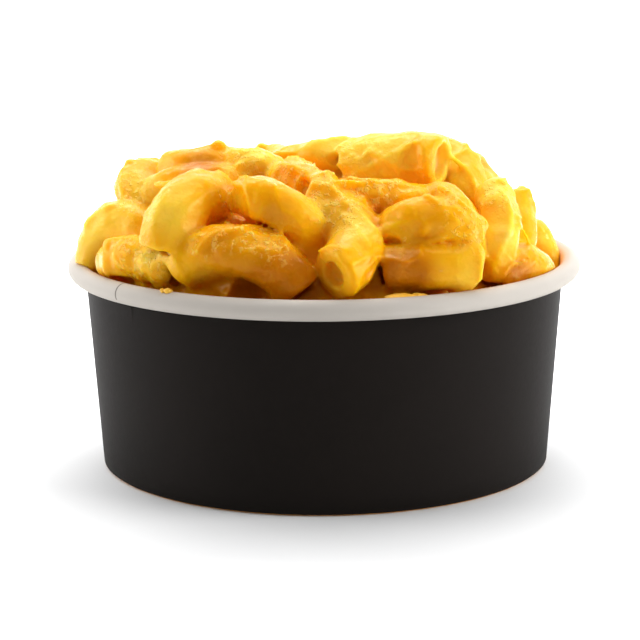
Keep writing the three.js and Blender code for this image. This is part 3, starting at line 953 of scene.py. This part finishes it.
def skin(field):
    """The surface where a field is zero: points in millimetres and four-sided faces."""
    within = field < 0
    cells = tuple(step - 1 for step in field.shape)
    corners = np.zeros(cells, np.int8)
    for corner in np.ndindex(2, 2, 2):
        corners += within[tuple(slice(c, c + n) for c, n in zip(corner, cells))]
    crossed = (corners > 0) & (corners < 8)
    cell = np.stack(np.nonzero(crossed), 1)
    number = np.full(cells, -1, np.int32)
    number[crossed] = np.arange(len(cell))
    total = np.zeros((len(cell), 3))
    found = np.zeros((len(cell), 1))
    faces = []
    for way in range(3):
        ahead = np.eye(3, dtype=int)[way]
        others = [other for other in range(3) if other != way]
        for offset in np.ndindex(2, 2):
            near = cell.copy()
            near[:, others] += offset
            near_value = field[tuple(near.T)]
            far_value = field[tuple((near + ahead).T)]
            cut = ((near_value < 0) != (far_value < 0))[:, None]
            drop = np.where(near_value == far_value, 1, near_value - far_value)
            total += np.where(cut, near + (near_value / drop)[:, None] * ahead, 0)
            found += cut
        near_side = part_of(within, way, 0, -1)
        far_side = part_of(within, way, 1, None)
        edge = np.stack(np.nonzero(near_side != far_side), 1)
        inner = (edge[:, others] > 0).all(1)
        inner &= (edge[:, others] < np.array(field.shape)[others] - 1).all(1)
        edge = edge[inner]
        loop = []
        for offset in ((0, 0), (1, 0), (1, 1), (0, 1)):
            beside = edge.copy()
            beside[:, others] -= offset
            loop.append(number[tuple(beside.T)])
        loop = np.stack(loop, 1)
        turned = near_side[tuple(edge.T)] == (way == 1)
        loop[turned] = loop[turned][:, ::-1]
        faces.append(loop)
    return FIELD_LOW + CELL * total / found, np.concatenate(faces)


def outer_part(points, faces):
    """The largest connected piece of a surface, so that closed bubbles inside are left out."""
    ends = np.concatenate([faces[:, [0, 1]], faces[:, [1, 2]], faces[:, [2, 3]]])
    label = np.arange(len(points))
    while True:
        lowest = np.minimum(label[ends[:, 0]], label[ends[:, 1]])
        joined = label.copy()
        np.minimum.at(joined, ends[:, 0], lowest)
        np.minimum.at(joined, ends[:, 1], lowest)
        joined = joined[joined]
        if (joined == label).all():
            break
        label = joined
    kept = label == np.bincount(label).argmax()
    new_number = np.cumsum(kept) - 1
    return points[kept], new_number[faces[kept[faces[:, 0]]]]


def filled_down(points, faces, height, levels):
    """The faces below a height are left out. Rings down the wall and a floor take their place."""
    below = (points[faces, 2] < height).all(1)
    floor = faces[below]
    edges = np.concatenate([floor[:, [i, (i + 1) % 4]] for i in range(4)])
    codes = edges[:, 0] * len(points) + edges[:, 1]
    back = edges[:, 1] * len(points) + edges[:, 0]
    edges = edges[~np.isin(codes, back)]
    rim = np.unique(edges)
    around = points[rim, :2] / np.linalg.norm(points[rim, :2], axis=1)[:, None]
    above = np.arange(len(points))
    new_faces = [faces[~below]]
    for level in levels:
        radius = wall_middle(level) - PAPER / 2 - WALL_CLEARANCE
        ring = np.column_stack([around * radius, np.full(len(rim), level)])
        beneath = above.copy()
        beneath[rim] = len(points) + np.arange(len(rim))
        points = np.concatenate([points, ring])
        start, end = edges.T
        new_faces.append(np.stack([above[start], above[end], beneath[end], beneath[start]], 1))
        above = beneath
    fan = np.column_stack([above[edges], np.full(len(edges), len(points))])
    points = np.concatenate([points, [[0.0, 0.0, levels[-1]]]])
    new_faces = np.concatenate(new_faces)
    used = np.unique(np.concatenate([new_faces.ravel(), fan.ravel()]))
    new_number = np.zeros(len(points), int)
    new_number[used] = np.arange(len(used))
    return points[used], new_number[new_faces], new_number[fan]


def eased(points, faces):
    """Each point moved half the way to the mean of its neighbours."""
    near_sum = np.zeros_like(points)
    near_count = np.zeros(len(points))
    for corner in range(4):
        here = faces[:, corner]
        for beside in (faces[:, corner - 1], faces[:, (corner + 1) % 4]):
            near_count += np.bincount(here, minlength=len(points))
            for way in range(3):
                near_sum[:, way] += np.bincount(here, points[beside, way], len(points))
    return (points + near_sum / near_count[:, None]) / 2


sauce_points, sauce_faces = outer_part(*skin(sauce))
sauce_points = eased(sauce_points, sauce_faces)
sauce_floor = FIELD_LOW[2] + 2.5 * CELL
sauce_levels = (30, 18, base_top + 0.4, base_top + 0.1)
sauce_points, sauce_faces, floor_faces = filled_down(
    sauce_points, sauce_faces, sauce_floor, sauce_levels
)
sauce_mesh = bpy.data.meshes.new("thick_sauce")
sauce_mesh.from_pydata((sauce_points * MM).tolist(), [], sauce_faces.tolist() + floor_faces.tolist())
thick_sauce = new_piece("thick_sauce", sauce_mesh)
fewer = thick_sauce.modifiers.new("fewer", "DECIMATE")
fewer.ratio = MOST_TRIANGLES / (len(sauce_faces) * 2 + len(floor_faces))
shapes = bpy.context.evaluated_depsgraph_get()
sauce_mesh = bpy.data.meshes.new_from_object(thick_sauce.evaluated_get(shapes))
sauce_mesh.name = "cheese_sauce"
bpy.data.objects.remove(thick_sauce)
sauce_mesh.polygons.foreach_set("use_smooth", [True] * len(sauce_mesh.polygons))
sauce_points = np.empty(len(sauce_mesh.vertices) * 3)
sauce_mesh.vertices.foreach_get("co", sauce_points)
sauce_points = sauce_points.reshape(-1, 3) / MM


def at_points(field, points):
    """A field's value at each of the points, blended between the cells round it."""
    place = (points - FIELD_LOW) / CELL
    low = np.clip(np.floor(place).astype(int), 0, np.array(field.shape) - 2)
    past = place - low
    value = np.zeros(len(points))
    for corner in np.ndindex(2, 2, 2):
        share = np.prod(np.where(corner, past, 1 - past), axis=1)
        value += share * field[tuple((low + corner).T)]
    return value


# What the material goes by: the depth over the pasta, how hollow it is for the painted shade in the
# hollows, the painted light and shade of the spots, and how grainy it is.
sauce_traits = {
    "thickness": above_pasta,
    "hollow": -blurred(np.clip(sauce, -6, 6).astype(np.float64), 9),
    "painted_light_and_shade": with_patches(np.zeros_like(above_pasta), PAINTED_LIGHT_AND_SHADE_SPOTS),
    "grainy": grainy,
}
for name, trait in sauce_traits.items():
    give(sauce_mesh, name, at_points(trait, sauce_points))

SAUCE_MID = (0.94, 0.425, 0.0008, 1)
SAUCE_LIGHT = (0.95, 0.475, 0.003, 1)
SAUCE_PAINTED_CREVICE_SHADE = (0.88, 0.29, 0.0005, 1)
SAUCE_SHOWS_PASTA = (0.94, 0.5, 0.025, 1)
SAUCE_PAINTED_LIGHT = (0.97, 0.64, 0.06, 1)
SAUCE_PAINTED_SHADE = (0.58, 0.185, 0.0004, 1)
SAUCE_PAINTED_HIGHLIGHT = (0.98, 0.8, 0.22, 1)
SAUCE_GRAIN = (0.98, 0.68, 0.13, 1)
cheese = Finish(
    "cheese_sauce",
    Specular_IOR_Level=0.4,
    Specular_Tint=(1.0, 0.7, 0.25, 1),
    Subsurface_Weight=0.85,
    Subsurface_Radius=(1.0, 0.7, 0.3),
    Subsurface_Scale=3.6 * MM,
)
cloud = cheese.noise(130.0, 3.0)
painted_light_and_shade_here = cheese.attribute("painted_light_and_shade")
thin = cheese.step(cheese.attribute("thickness") + (cloud - 0.5) * 0.4, 0.55, 0.0)
grain = cheese.step(cheese.noise(800.0, 2.0, 0.6), 0.5, 0.66)
grain = grain * cheese.step(cheese.attribute("grainy"), 0.0, 0.8)
colour = cheese.mix(cloud, SAUCE_MID, SAUCE_LIGHT)
sauce_shades = [
    # Painted shade: darker, redder sauce where the surface is hollow.
    (cheese.step(cheese.attribute("hollow"), -0.4, 1.8), SAUCE_PAINTED_CREVICE_SHADE),
    (thin * 0.7, SAUCE_SHOWS_PASTA),
    # Painted light and painted highlights where the spots are above zero, painted shade where they
    # are below.
    (cheese.step(painted_light_and_shade_here, 0.0, 1.0), SAUCE_PAINTED_LIGHT),
    (cheese.step(painted_light_and_shade_here, 0.9, 2.0), SAUCE_PAINTED_HIGHLIGHT),
    (cheese.step(painted_light_and_shade_here, 0.0, -1.0), SAUCE_PAINTED_SHADE),
    (grain * 0.6, SAUCE_GRAIN),
]
for share, shade in sauce_shades:
    colour = cheese.mix(share, colour, shade)
cheese.vary("Base Color", colour)
cheese.vary("Roughness", cheese.step(cheese.noise(300.0), 0.3, 0.7, 0.2, 0.36))
cheese.bump(cheese.noise(450.0) * 0.25 + grain * 0.25, 1.0 * MM)
sauce_mesh.materials.append(cheese.material)
cheese_sauce = new_piece("cheese_sauce", sauce_mesh)
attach(cheese_sauce, "root")
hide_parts("macaroni_heap")


# ---- The cheese crumbs ----
# A crumb of the cheese sauce that has dropped on the bowl's rim at the left, and two flat
# smears of it right of the middle. They stick to the white board.
CRUMBS = [
    {"at": (-32.3, -45.6, 47.3), "radii": (1.0, 0.7, 0.6), "turn": (0, 0, 0.4)},
    {"at": (-33.4, -45.2, 47.2), "radii": (0.6, 0.5, 0.4), "turn": (0, 0, 1.2)},
    {"at": (15.3, -51.4, 46.8), "radii": (3.4, 1.2, 0.4), "turn": (0.3, 0, 0.28)},
    {"at": (19.0, -50.1, 46.8), "radii": (2.2, 0.8, 0.3), "turn": (0.3, 0, 0.4)},
]
crumb_places = [Vector(crumb["at"]) * MM for crumb in CRUMBS]
crumb_traits = {"turn": [crumb["turn"] for crumb in CRUMBS]}
crumb_traits["radii"] = [Vector(crumb["radii"]) * MM for crumb in CRUMBS]
crumb_seeds = seed_points("crumb_seeds", crumb_places, crumb_traits)

crumbler = Maker("place_crumbs", {
    "Segments": ("NodeSocketInt", 20),
    "Rings": ("NodeSocketInt", 12),
    "Unevenness": ("NodeSocketFloat", 0.6 * MM),
    "Noise scale": ("NodeSocketFloat", 900.0),
})
ball_sizes = {"Segments": crumbler.size("Segments"), "Rings": crumbler.size("Rings"), "Radius": 1.0}
ball = crumbler.node("GeometryNodeMeshUVSphere", {}, ball_sizes)
points = crumbler.node("GeometryNodeMeshToPoints", {}, [crumbler.size("Geometry")])
placed = {"Points": points, "Instance": ball}
placed["Rotation"] = crumbler.own("turn", "FLOAT_VECTOR")
placed["Scale"] = crumbler.own("radii", "FLOAT_VECTOR")
crumbs = crumbler.node("GeometryNodeInstanceOnPoints", {}, placed)
crumbs = crumbler.node("GeometryNodeRealizeInstances", {}, [crumbs])
crumb_place = crumbler.node("GeometryNodeInputPosition")
shift = crumbler.uneven(
    crumb_place, crumbler.size("Noise scale"), crumbler.size("Unevenness"), 0.0
)
crumbs = crumbler.node("GeometryNodeSetPosition", {}, {"Geometry": crumbs, "Offset": shift})
crumbs = crumbler.node("GeometryNodeSetShadeSmooth", {}, {"Geometry": crumbs})

CRUMB_COLOUR = (0.95, 0.47, 0.01, 1)
CRUMB_PALE = (0.96, 0.6, 0.1, 1)
crumb_cheese = Finish("cheese_crumbs", Specular_IOR_Level=0.4)
crumb_shade = crumb_cheese.noise(900.0)
crumb_cheese.vary("Base Color", crumb_cheese.mix(crumb_shade, CRUMB_COLOUR, CRUMB_PALE))
crumb_cheese.vary("Roughness", crumb_cheese.step(crumb_shade, 0.3, 0.7, 0.3, 0.45))
cheese_crumbs = crumbler.make("cheese_crumbs", crumb_seeds, crumb_cheese.material, crumbs)
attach(cheese_crumbs, "root")
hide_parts("macaroni_heap")
bpy.data.objects.remove(crumb_seeds)
